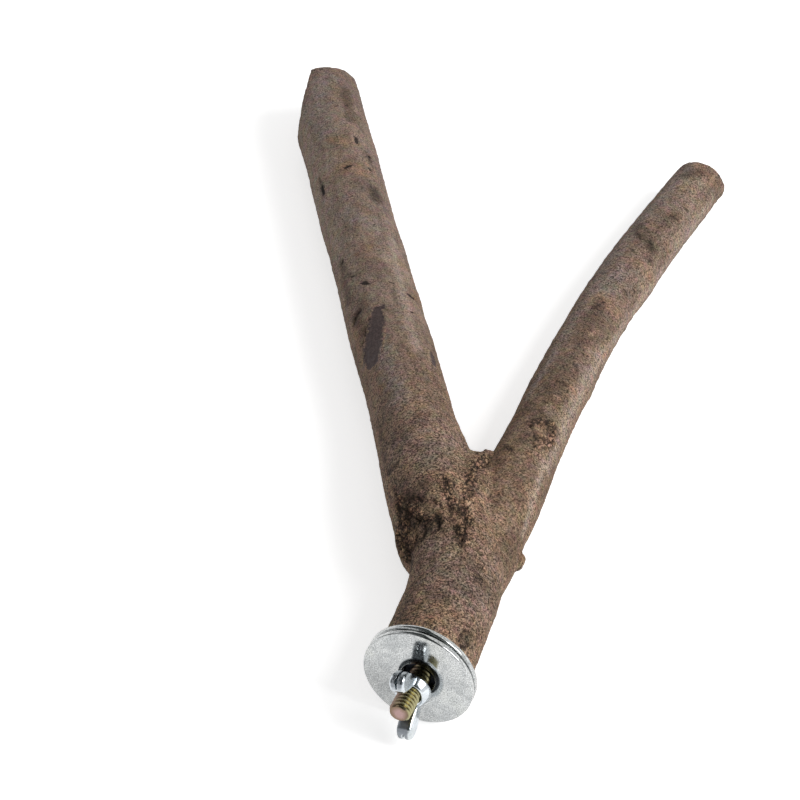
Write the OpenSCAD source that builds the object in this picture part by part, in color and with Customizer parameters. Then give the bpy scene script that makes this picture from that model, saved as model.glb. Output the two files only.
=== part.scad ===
// Forked branch perch that clamps to cage bars: a natural Y branch, a hanger bolt,
// two large washers and a wing nut. Millimetres, +Z up, lying as it rests on a table.
// The origin is in the middle of the washers, in the plane where the inner one meets the bars.
// The bolt points along -Y and the branch runs away from it along +Y.

/* [Washers] */
// Outside diameter of both washers
washer_d = 31.75; // [30:0.25:33]
// Thickness of one washer
washer_t = 1.5; // [1.2:0.1:1.8]
// Diameter of the hole in both washers
washer_hole_d = 9.9; // [9.5:0.1:10.6]
// Gap left between the washers, where the cage bars go
rest_gap = 0.8; // [0.4:0.1:2]

/* [Hanger bolt] */
// Outside diameter of the machine thread (1/4 inch, with its crests worn flat)
thread_d = 6.2; // [6:0.05:6.35]
// Thread pitch (20 turns to the inch)
thread_pitch = 1.27; // [1.27]
// Diameter at the root of the machine thread
thread_root_d = 4.8; // [4.6:0.1:5]
// Overall length of the bolt
bolt_len = 38.1; // [34:0.5:40]
// Length of bolt that shows beyond the outer washer
bolt_proud = 12.8; // [11:0.1:14]
// How far the bolt lies below the middle of the washers' wide holes
bolt_drop = 1.7; // [0:0.1:1.7]
// How far the bolt lies to the side of that middle, towards -X
bolt_side = 0.4; // [0:0.1:0.4]

/* [Wing nut] */
// Space between the nut and the outer washer, with the nut backed off a little
nut_gap = 2.4; // [1:0.1:4]
// Height of the threaded hub
hub_h = 2.9; // [2.5:0.1:4]
// Diameter of the hub at its foot
hub_base_d = 10.9; // [10:0.1:12]
// Diameter of the hub at its outer end
hub_top_d = 8.8; // [8.6:0.1:9.6]
// Height of the wing tips above the hub's foot
wing_h = 9.9; // [9:0.1:11]
// Radius that the wings reach from the bolt's axis
wing_reach = 11.2; // [10:0.1:12]
// Thickness of a wing, which is one sheet folded double
wing_t = 4.4; // [3.6:0.1:5]
// Angle of the wings from +X, seen from the bolt's tip
wing_angle = 97; // [0:1:180]

/* [Branch] */
// Depth of the pilot hole for the wood screw end
pilot_depth = 23; // [22:0.5:28]
// Diameter of the pilot hole
pilot_d = 4.4; // [4:0.1:4.8]
// Sides of each limb's rings
limb_sides = 28; // [16:4:32]
// Rings along one gap between two stations
rings_per_station = 3; // [2:1:4]

/* [Hidden] */
bark = [0.42, 0.35, 0.30];
zinc = [0.78, 0.79, 0.81];
bright_zinc = [0.84, 0.86, 0.88];
yellow_zinc = [0.66, 0.56, 0.34];
table_z = -washer_d / 2;
outer_face = washer_t + rest_gap;
bolt_tip = outer_face + bolt_proud;
bolt_end = bolt_tip - bolt_len;
nut_seat = outer_face + nut_gap;
overrun = 3;
thread_sides = 28;

// Centreline stations [x, y, radius, clearance above the table] of the trunk and long limb
long_stations = [
    [0.5, -8, 13.2, 2.7],
    [-0.6, 7, 13.1, 2.7],
    [-2, 22, 12.9, 2.6],
    [-3.8, 34, 12.7, 2.4],
    [-7.4, 46, 13.4, 2.0],
    [-16.7, 60, 13.8, 1.2],
    [-26.5, 75, 13.4, 1.2],
    [-35.5, 91, 13.0, 1.3],
    [-46.5, 109, 12.2, 1.4],
    [-58, 127.5, 12.1, 1.4],
    [-70.5, 147.5, 11.8, 1.3],
    [-83, 168, 11.8, 1.0],
    [-95.2, 188.5, 11.9, 0.6],
    [-108, 210, 11.9, 0.2],
    [-121.2, 231, 11.8, 0],
    [-133.5, 251, 11.8, 0],
    [-145.5, 270, 11.7, 0]
];

// The same for the short limb, which starts inside the trunk
short_stations = [
    [-2, 30, 8.8, 5.0],
    [-1.4, 44, 9.6, 3.6],
    [-1.9, 58, 9.7, 2.6],
    [-3, 72, 9.9, 2.0],
    [-4.6, 88, 10.0, 1.6],
    [-6, 105, 9.3, 1.5],
    [-6.8, 121, 8.9, 1.4],
    [-7.4, 137, 8.8, 1.3],
    [-7.9, 153, 8.6, 1.2],
    [-7.9, 169, 8.4, 1.1],
    [-7.2, 185, 8.6, 0.9],
    [-6.3, 201, 8.7, 0.6],
    [-4.7, 219, 8.6, 0.3],
    [-3, 237, 8.4, 0],
    [-1.6, 250, 8.4, 0],
    [0, 263, 8.3, 0]
];

// Swellings [y, angle, height, half length, half angle]; 0 degrees is the +X side, 90 the top
long_swells = [
    [35, 0, 0.9, 8, 45],
    [53, 175, 1.6, 5, 40],
    [41, 190, -0.8, 5, 45],
    [66, 110, 1.0, 12, 60],
    [82, 0, 1.3, 4, 40],
    [96, 0, -0.7, 7, 45],
    [131, 0, 0.3, 8, 40],
    [148, 0, 0.5, 5, 40],
    [168, 0, 0.4, 9, 45],
    [177, 180, -0.4, 6, 45],
    [206, 150, 0.5, 9, 50],
    [208, 0, -0.4, 6, 45],
    [240, 0, 0.4, 16, 45]
];
short_swells = [
    [64, -5, -0.9, 7, 45],
    [68, 75, 0.8, 12, 60],
    [139, -10, 0.6, 4, 30],
    [176, 200, 0.3, 8, 50],
    [196, -10, 0.5, 5, 40],
    [205, 180, 0.45, 50, 50],
    [252, -5, -0.6, 8, 60]
];

// Where and how the long limb's end is sawn: a point on the cut at Z = 0, its lean and its turn about Z
long_cut_at = [-128, 259.4];
long_cut_lean = 22;
long_cut_turn = 29;
// A second, slanting cut that takes the outer corner off the long limb's end
long_bevel_at = [-137.5, 250];
long_bevel_lean = 0;
long_bevel_turn = 102;
// Where and how the short limb's end is sawn
short_cut_at = [0, 255.9];
short_cut_lean = 10;
short_cut_turn = -4;

function blend(a, b, c, d, t) =
    0.5 * (2 * b + (c - a) * t + (2 * a - 5 * b + 4 * c - d) * t * t
    + (3 * b - a - 3 * c + d) * t * t * t);

function station(st, u) =
    let (last = len(st) - 1, i = min(floor(u), last - 1))
    blend(st[max(i - 1, 0)], st[i], st[i + 1], st[min(i + 2, last)], u - i);

function turn_gap(a, b) = (a - b + 540) % 360 - 180;

function bump(mark, y, angle) =
    mark[2] * exp(-pow((y - mark[0]) / mark[3], 2)
    - pow(turn_gap(angle, mark[1]) / mark[4], 2));

function swelling(marks, y, angle) = [for (mark = marks) bump(mark, y, angle)] * [for (mark = marks) 1];

// A limb is never quite round: slow waves along it and around it
function waviness(y, angle) =
    0.15 * sin(3.1 * y + 2 * angle) + 0.12 * sin(7.3 * y - angle) + 0.1 * sin(5 * y + 3 * angle);

// One ring of points, square to the centreline at station u
function ring(st, marks, u) =
    let (
        here = station(st, u),
        ahead = station(st, min(u + 0.05, len(st) - 1)),
        behind = station(st, max(u - 0.05, 0)),
        way = [ahead[0] - behind[0], ahead[1] - behind[1]] / norm([ahead[0] - behind[0], ahead[1] - behind[1]]),
        z = table_z + here[3] + here[2]
    )
    [for (k = [0 : limb_sides - 1])
        let (
            angle = 360 * k / limb_sides,
            reach = here[2] + swelling(marks, here[1], angle) + waviness(here[1], angle),
            level = max(reach * sin(angle), -here[2])
        )
        [here[0] + reach * cos(angle) * way[1], here[1] - reach * cos(angle) * way[0], z + level]];

// A closed tube through rings of equal length
module limb(st, marks) {
    rings = (len(st) - 1) * rings_per_station;
    points = [for (i = [0 : rings]) each ring(st, marks, i / rings_per_station)];
    sides = [for (i = [0 : rings - 1], k = [0 : limb_sides - 1])
        let (next = (k + 1) % limb_sides, low = i * limb_sides, high = low + limb_sides)
        each [[low + k, high + next, high + k], [low + k, low + next, high + next]]];
    ends = [
        [for (k = [limb_sides - 1 : -1 : 0]) k],
        [for (k = [0 : limb_sides - 1]) rings * limb_sides + k]
    ];
    polyhedron(points, concat(sides, ends));
}

// The broad web of wood where the limbs part, with the burr in the crotch
module fork_web() {
    translate([-15, 68, -1.4]) rotate([0, 0, 20]) scale([1, 1.65, 0.98]) sphere(r = 12.6, $fn = 28);
    translate([-17, 83.4, -1]) scale([1.15, 1.2, 0.9]) sphere(r = 6.4, $fn = 16);
    translate([-12.4, 84, -1]) sphere(r = 4.6, $fn = 12);
    translate([-14.8, 88, 1]) scale([1, 2.4, 1]) sphere(r = 2.1, $fn = 12);
}

// A twig broken off close to the trunk
module twig_stub() {
    translate([-1.5, 57.5, -3.2]) rotate([0, 106, 0]) cylinder(h = 10.8, d1 = 8.6, d2 = 4.6, $fn = 10);
}

module cut_away(at, lean, turn) {
    saw_w = 60;
    translate([at[0], at[1], 0]) rotate([lean, 0, turn]) translate([-saw_w / 2, 0, -saw_w / 2]) cube(saw_w);
}

module branch() {
    color(bark)
    difference() {
        resize([0, 0, 0])
        difference() {
            union() {
                limb(long_stations, long_swells);
                limb(short_stations, short_swells);
                fork_web();
                twig_stub();
            }
            cut_away([0, washer_t], 0, 180);
            cut_away(long_cut_at, long_cut_lean, long_cut_turn);
            cut_away(long_bevel_at, long_bevel_lean, long_bevel_turn);
            cut_away(short_cut_at, short_cut_lean, short_cut_turn);
        }
        translate([-bolt_side, washer_t - 1, -bolt_drop])
        rotate([-90, 0, 0]) cylinder(h = pilot_depth + 1, d = pilot_d, $fn = 48);
    }
}

// Right-hand screw thread along +Z: a closed sweep of one tooth, with fans at both ends
module thread(root_r, crest_r, pitch, z_low, z_high, sides) {
    turns = ceil((z_high - z_low) / pitch) + 1;
    steps = turns * sides;
    flank = (crest_r - root_r) * tan(30);
    crest = (pitch - 2 * flank) / 3;
    tooth = [[root_r, 0], [crest_r, flank], [crest_r, flank + crest], [root_r, 2 * flank + crest]];
    points = [for (i = [0 : steps], p = tooth)
        [p[0] * cos(360 * i / sides), p[0] * sin(360 * i / sides), z_low + p[1] + pitch * (i / sides - 1)]];
    low_hub = len(points);
    high_hub = low_hub + 1;
    hubs = [[0, 0, z_low - pitch], [0, 0, z_low + steps / sides * pitch]];
    function at(i, j) = 4 * i + j;
    teeth = [for (i = [0 : steps - 1], j = [0 : 2])
        each [[at(i, j), at(i, j + 1), at(i + 1, j + 1)], [at(i, j), at(i + 1, j + 1), at(i + 1, j)]]];
    roots = [for (i = [0 : steps - sides - 1])
        each [[at(i, 3), at(i + sides, 0), at(i + 1 + sides, 0)], [at(i, 3), at(i + 1 + sides, 0), at(i + 1, 3)]]];
    low_fan = concat(
        [for (i = [0 : sides - 1]) [low_hub, at(i, 0), at(i + 1, 0)]],
        [for (j = [0 : 2]) [low_hub, at(0, j + 1), at(0, j)]],
        [[low_hub, at(sides, 0), at(0, 3)]]);
    high_fan = concat(
        [for (i = [steps - sides : steps - 1]) [high_hub, at(i + 1, 3), at(i, 3)]],
        [for (j = [0 : 2]) [high_hub, at(steps, j), at(steps, j + 1)]],
        [[high_hub, at(steps - sides, 3), at(steps, 0)]]);
    polyhedron(concat(points, hubs), concat(teeth, roots, low_fan, high_fan));
}

// Turns a module drawn along +Z so that it points out along the washers' axis
module outwards() {
    rotate([90, 0, 0]) children();
}

// The same along the bolt's own axis, which lies low in the washers' holes
module along_bolt() {
    translate([-bolt_side, 0, -bolt_drop]) outwards() children();
}

// Envelope of the machine end: a cylinder with a chamfered tip
module machine_end(r) {
    chamfer = 0.8;
    rotate_extrude($fn = 48)
    polygon([[0, -washer_t - 1], [r, -washer_t - 1], [r, bolt_tip - chamfer], [r - chamfer, bolt_tip], [0, bolt_tip]]);
}

// Envelope of the wood screw end: it tapers to a blunt point
module wood_end(r) {
    taper = 6;
    rotate_extrude($fn = 40)
    polygon([[0, bolt_end], [0.8, bolt_end], [r, bolt_end + taper], [r, -washer_t - 3.5], [0, -washer_t - 3.5]]);
}

module hanger_bolt() {
    wood_thread_d = 5.6;
    shank_d = 5.3;
    wood_root_d = 4.2;
    wood_pitch = 2.4;
    color(yellow_zinc)
    along_bolt()
    union() {
        intersection() {
            thread(thread_root_d / 2, thread_d / 2, thread_pitch, -washer_t - overrun, bolt_tip + overrun, thread_sides);
            machine_end(thread_d / 2 + 0.1);
        }
        translate([0, 0, -washer_t - 4.4]) cylinder(h = 4, d = shank_d, $fn = 40);
        intersection() {
            thread(wood_root_d / 2, wood_thread_d / 2, wood_pitch, bolt_end - overrun, -washer_t, 16);
            wood_end(wood_thread_d / 2 + 0.1);
        }
    }
}

// A stamped washer: its die-cut edges are broken slightly
module washer() {
    edge = 0.2;
    rotate_extrude($fn = 96)
    polygon([
        [washer_hole_d / 2, 0], [washer_d / 2 - edge, 0], [washer_d / 2, edge],
        [washer_d / 2, washer_t - edge], [washer_d / 2 - edge, washer_t], [washer_hole_d / 2, washer_t]
    ]);
}

module inner_washer() {
    color(zinc) outwards() translate([0, 0, -washer_t]) washer();
}

module outer_washer() {
    color(zinc) outwards() translate([0, 0, rest_gap]) washer();
}

// A wing's outline in its own plane: X is the distance from the bolt's axis, Y the height above the hub's foot
module wing_outline() {
    tip_r = 2.6;
    foot_r = 1.2;
    hull() {
        translate([wing_reach - tip_r, wing_h - tip_r]) circle(r = tip_r, $fn = 28);
        translate([wing_reach - 3.6, wing_h / 2 - 0.8]) circle(r = 1.8, $fn = 28);
        translate([hub_base_d / 2 - 0.6, foot_r]) circle(r = foot_r, $fn = 20);
        translate([hub_top_d / 2 + 0.5, hub_h + 0.4]) circle(r = 1.1, $fn = 20);
    }
}

// One wing: a plate with rounded edges, and the slot where the folded sheet's two edges don't meet
module wing() {
    edge = 1;
    slot_w = 0.8;
    slot_depth = 2;
    slot_low = hub_h + 0.6;
    rotate([90, 0, 0])
    difference() {
        hull() {
            linear_extrude(wing_t - 2 * edge, center = true) wing_outline();
            linear_extrude(wing_t, center = true) offset(delta = -edge) wing_outline();
        }
        linear_extrude(slot_w, center = true)
        intersection() {
            difference() {
                offset(delta = 1) wing_outline();
                offset(delta = -slot_depth) wing_outline();
            }
            translate([hub_base_d / 2 + 1, slot_low]) square(wing_h);
        }
    }
}

module wing_nut() {
    rim = 0.5;
    shoulder = 0.3;
    // Room between the nut's thread and the bolt's, which lets the nut run freely
    running_room = 0.15;
    color(bright_zinc)
    along_bolt()
    translate([0, 0, nut_seat])
    difference() {
        union() {
            rotate_extrude($fn = 48)
            polygon([[0, 0], [hub_base_d / 2 - shoulder, 0], [hub_base_d / 2, shoulder], [hub_base_d / 2, rim],
                [hub_top_d / 2, hub_h - shoulder], [hub_top_d / 2 - shoulder, hub_h], [0, hub_h]]);
            for (side = [0, 180]) rotate([0, 0, wing_angle + side]) wing();
        }
        nut_thread(running_room);
    }
}

// The space that the nut's thread leaves, in mesh with the bolt's thread at rest
module nut_thread(room) {
    translate([0, 0, -nut_seat])
    thread(thread_root_d / 2 + room, thread_d / 2 + room, thread_pitch, -washer_t - overrun, bolt_tip + overrun,
        thread_sides);
}

branch();
hanger_bolt();
inner_washer();
outer_washer();
wing_nut();
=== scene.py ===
import math

import bpy
import numpy as np
from mathutils import Matrix, Vector, noise
from mathutils.bvhtree import BVHTree


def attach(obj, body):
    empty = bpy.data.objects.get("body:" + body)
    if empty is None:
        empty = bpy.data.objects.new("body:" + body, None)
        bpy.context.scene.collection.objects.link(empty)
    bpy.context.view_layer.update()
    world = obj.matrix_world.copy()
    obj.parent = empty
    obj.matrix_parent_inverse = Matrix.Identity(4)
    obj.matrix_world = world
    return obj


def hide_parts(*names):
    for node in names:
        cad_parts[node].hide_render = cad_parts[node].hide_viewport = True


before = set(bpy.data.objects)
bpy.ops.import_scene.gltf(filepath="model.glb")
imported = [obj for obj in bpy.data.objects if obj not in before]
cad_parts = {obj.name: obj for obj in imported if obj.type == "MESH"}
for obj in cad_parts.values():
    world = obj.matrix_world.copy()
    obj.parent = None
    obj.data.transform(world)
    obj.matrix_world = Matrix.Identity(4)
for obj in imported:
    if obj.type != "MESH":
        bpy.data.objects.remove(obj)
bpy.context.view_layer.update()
mm = 0.001
weldGap = 0.001 * mm
print("perch: frame loaded")


def newMaterial(name):
    material = bpy.data.materials.new(name)
    material.use_nodes = True
    return material, material.node_tree, material.node_tree.nodes["Principled BSDF"]


def addNode(tree, kind, **settings):
    made = tree.nodes.new(kind)
    for key, value in settings.items():
        setattr(made, key, value)
    return made


def plug(tree, value, socket):
    # a socket is linked, anything else is typed in
    if isinstance(value, bpy.types.NodeSocket):
        tree.links.new(value, socket)
    elif isinstance(value, tuple) and len(value) == 3 and socket.type == "RGBA":
        socket.default_value = (*value, 1)
    else:
        socket.default_value = value


def maths(tree, operation, first, second=0.0, third=0.0):
    made = addNode(tree, "ShaderNodeMath", operation=operation)
    for value, socket in zip((first, second, third), made.inputs):
        plug(tree, value, socket)
    return made.outputs[0]


def times(tree, first, second):
    return maths(tree, "MULTIPLY", first, second)


def blendColour(tree, amount, low, high, how="MIX"):
    made = addNode(tree, "ShaderNodeMix", data_type="RGBA", blend_type=how)
    plug(tree, amount, made.inputs["Factor"])
    plug(tree, low, made.inputs[6])
    plug(tree, high, made.inputs[7])
    return made.outputs[2]


def spread(tree, value, low, high, toLow=0.0, toHigh=1.0):
    made = addNode(tree, "ShaderNodeMapRange", interpolation_type="SMOOTHSTEP")
    plug(tree, value, made.inputs["Value"])
    for name, number in (("From Min", low), ("From Max", high), ("To Min", toLow), ("To Max", toHigh)):
        made.inputs[name].default_value = number
    return made.outputs["Result"]


def stretched(tree, where, scale, place=(0, 0, 0)):
    made = addNode(tree, "ShaderNodeMapping")
    plug(tree, where, made.inputs["Vector"])
    made.inputs["Scale"].default_value = scale
    made.inputs["Location"].default_value = place
    return made.outputs["Vector"]


def cloud(tree, where, perMetre, detail, rough=0.5, warp=0.0, output="Fac"):
    made = addNode(tree, "ShaderNodeTexNoise")
    plug(tree, where, made.inputs["Vector"])
    made.inputs["Scale"].default_value = perMetre
    made.inputs["Detail"].default_value = detail
    made.inputs["Roughness"].default_value = rough
    made.inputs["Distortion"].default_value = warp
    return made.outputs[output]


def warped(tree, where, perMetre, reach):
    # a place pushed about by a cloud
    push = addNode(tree, "ShaderNodeVectorMath", operation="MULTIPLY_ADD")
    plug(tree, cloud(tree, where, perMetre, 2, output="Color"), push.inputs[0])
    push.inputs[1].default_value = (reach, reach, reach)
    plug(tree, where, push.inputs[2])
    return push.outputs["Vector"]


def bumpOf(tree, height, strength, depth):
    made = addNode(tree, "ShaderNodeBump")
    plug(tree, height, made.inputs["Height"])
    made.inputs["Strength"].default_value = strength
    made.inputs["Distance"].default_value = depth
    return made.outputs["Normal"]


def selectOnly(piece):
    bpy.ops.object.select_all(action="DESELECT")
    piece.select_set(True)
    bpy.context.view_layer.objects.active = piece


def applyModifier(piece, kind, **settings):
    selectOnly(piece)
    made = piece.modifiers.new(kind.title(), kind)
    for key, value in settings.items():
        setattr(made, key, value)
    bpy.ops.object.modifier_apply(modifier=made.name)


studio = {
    "cameraPlace": (0.2236, -0.5799, 0.6081),
    "cameraTilt": 50.5,
    "cameraTurn": 21.6,
    "lens": 144,
    "sensor": 36,
    "clip": (0.01, 50),
    "picture": 800,
    "aim": (-0.05, 0.1, 0),
    "floorHeight": -15.875 * mm,
    "floorSize": 8,
    "floorColour": (0.9, 0.9, 0.9),
    "floorRoughness": 0.8,
    "floorShine": 0.1,
    "floorLift": 0.6,
    "sky": 0.33,
    # soft lamps: place, power and size
    "lamps": {
        "keyLamp": ((0.9, 0.15, 0.75), 11, 0.7),
        "fillLamp": ((-0.7, 0.6, 1.0), 1.2, 1.0),
    },
    # dark cards for the metal to mirror: place and size
    "cards": {
        "frontCard": ((0.26, -0.665, 0.7), 1.3),
        "sideCard": ((-0.75, -0.45, 0.22), 0.6),
        "backCard": ((-0.5, 0.85, 0.85), 1.0),
        "topCard": ((-0.1, -0.1, 1.5), 2.2),
    },
    "cardColour": (0.1, 0.115, 0.115),
    "cardRoughness": 0.9,
}


def setCamera(plan):
    bpy.ops.object.camera_add(
        location=plan["cameraPlace"],
        rotation=(math.radians(plan["cameraTilt"]), 0, math.radians(plan["cameraTurn"])))
    camera = bpy.context.object
    camera.name = "productCamera"
    camera.data.lens = plan["lens"]
    camera.data.sensor_width = plan["sensor"]
    camera.data.clip_start, camera.data.clip_end = plan["clip"]
    bpy.context.scene.camera = camera
    bpy.context.view_layer.update()
    return camera


def turnTo(place, aim):
    return (Vector(aim) - Vector(place)).to_track_quat("-Z", "Y").to_euler()


def setLamp(plan, name, place, power, size):
    bpy.ops.object.light_add(type="AREA", location=place, rotation=turnTo(place, plan["aim"]))
    lamp = bpy.context.object
    lamp.name = name
    lamp.data.energy = power
    lamp.data.size = size


def farRays(tree):
    # rays that see the studio straight, in a mirror or through something clear
    rays = addNode(tree, "ShaderNodeLightPath")
    seen = maths(tree, "MAXIMUM", rays.outputs["Is Camera Ray"], rays.outputs["Is Glossy Ray"])
    return maths(tree, "MAXIMUM", seen, rays.outputs["Is Transmission Ray"])


def setFloor(plan):
    bpy.ops.mesh.primitive_plane_add(size=plan["floorSize"], location=(0, 0, plan["floorHeight"]))
    floor = bpy.context.object
    floor.name = "paleFloor"
    material, tree, shader = newMaterial("paleFloor")
    shader.inputs["Base Color"].default_value = (*plan["floorColour"], 1)
    shader.inputs["Roughness"].default_value = plan["floorRoughness"]
    shader.inputs["Specular IOR Level"].default_value = plan["floorShine"]
    shader.inputs["Emission Color"].default_value = (1, 1, 1, 1)
    lift = times(tree, farRays(tree), plan["floorLift"])
    plug(tree, lift, shader.inputs["Emission Strength"])
    floor.data.materials.append(material)


def setSky(plan):
    world = bpy.data.worlds.new("studioSky")
    bpy.context.scene.world = world
    world.use_nodes = True
    tree = world.node_tree
    sky = tree.nodes["Background"]
    sky.inputs["Color"].default_value = (1, 1, 1, 1)
    strength = maths(tree, "MULTIPLY_ADD", farRays(tree), 1 - plan["sky"], plan["sky"])
    plug(tree, strength, sky.inputs["Strength"])


def setCard(plan, name, place, size):
    # only mirrors see a card
    bpy.ops.mesh.primitive_plane_add(size=size, location=place, rotation=turnTo(place, (0, 0, 0)))
    card = bpy.context.object
    card.name = name
    card.visible_camera = False
    card.visible_diffuse = False
    card.visible_shadow = False
    material, tree, shader = newMaterial(name)
    shader.inputs["Base Color"].default_value = (*plan["cardColour"], 1)
    shader.inputs["Roughness"].default_value = plan["cardRoughness"]
    shader.inputs["Specular IOR Level"].default_value = 0
    card.data.materials.append(material)


camera = setCamera(studio)
setFloor(studio)
setSky(studio)
for name, (place, size) in studio["cards"].items():
    setCard(studio, name, place, size)
for name, (place, power, size) in studio["lamps"].items():
    setLamp(studio, name, place, power, size)
bpy.context.scene.view_settings.view_transform = "Standard"
# the lens's focal length in picture points
focalPoints = studio["lens"] / studio["sensor"] * studio["picture"]
print("perch: studio set")


branchPlan = {
    "solidWeld": 0.01 * mm,
    "voxel": 0.72 * mm,
    "evenRounds": 5,
    # centrelines in mm, x and y, with the height of the middle above the washers' axis
    "longLine": [(0.5, -8, 0), (-2, 22, -0.5), (-7.4, 46, -0.7), (-26.5, 75, -1.3), (-58, 127.5, -2.4),
                 (-95.2, 188.5, -3.4), (-145.5, 270, -4.1)],
    "shortLine": [(0.5, -8, 0), (-1.4, 44, -2.6), (-4.6, 88, -4.3), (-7.9, 153, -6), (-7.2, 185, -6.4),
                  (0, 263, -7.5)],
    "smoothOver": 15,
    "longRadius": 12.5 * mm,
    "shortRadius": 9.5 * mm,
    "blend": 0.5,
    # sawn ends: a point on the cut, its lean and its turn
    "saws": [((0, 1.5, 0), 0, 180), ((-128, 259.4, 0), 22, 29), ((0, 255.9, 0), 10, -4)],
    "sawnSkin": 0.9 * mm,
    "sawnFacing": (0.55, 0.3),
    "sawnCalm": 0.9,
    # no relief up to this far from the washers, and all of it this much further on
    "calmUpTo": 2.1 * mm,
    "calmOver": 3 * mm,
    # relief: pattern along and across the limb for each mm, and its depth
    "wave": (0.05, 0.12, 0.2 * mm),
    "grain": (0.45, 0.9, 0.16 * mm),
    "cragSize": 0.5,
    "cragLevel": 0.4,
    "burrEdge": 0.3,
    "burrDepth": 2.6 * mm,
    # strokes that cut into the bark: how steep and how wide the cut's sides are, and its depth
    "cuts": {"crease": (1.4, 0.3, 0.6 * mm), "peel": (4, 0, 0.3 * mm), "slit": (1.5, 0.3, 0.5 * mm)},
    # strokes with a ridge along them: where in the stroke it lies, its width and its height
    "ridges": {"crease": (-0.7, 0.4, 0.2 * mm), "ring": (0.25, 0.22, 0.3 * mm)},
    # how deep a hollow must be for its painted shade to be full
    "hollowDepth": 0.7 * mm,
    # the bark grows coarser and browner below this far along a limb, over this length
    "coarseFrom": 150 * mm,
    "brownFrom": 170 * mm,
    "fadeOver": 70 * mm,
    "shortCoarse": 0.35,
    "shortCalm": 0.45,
    "shortBrown": 0.3,
}

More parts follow.
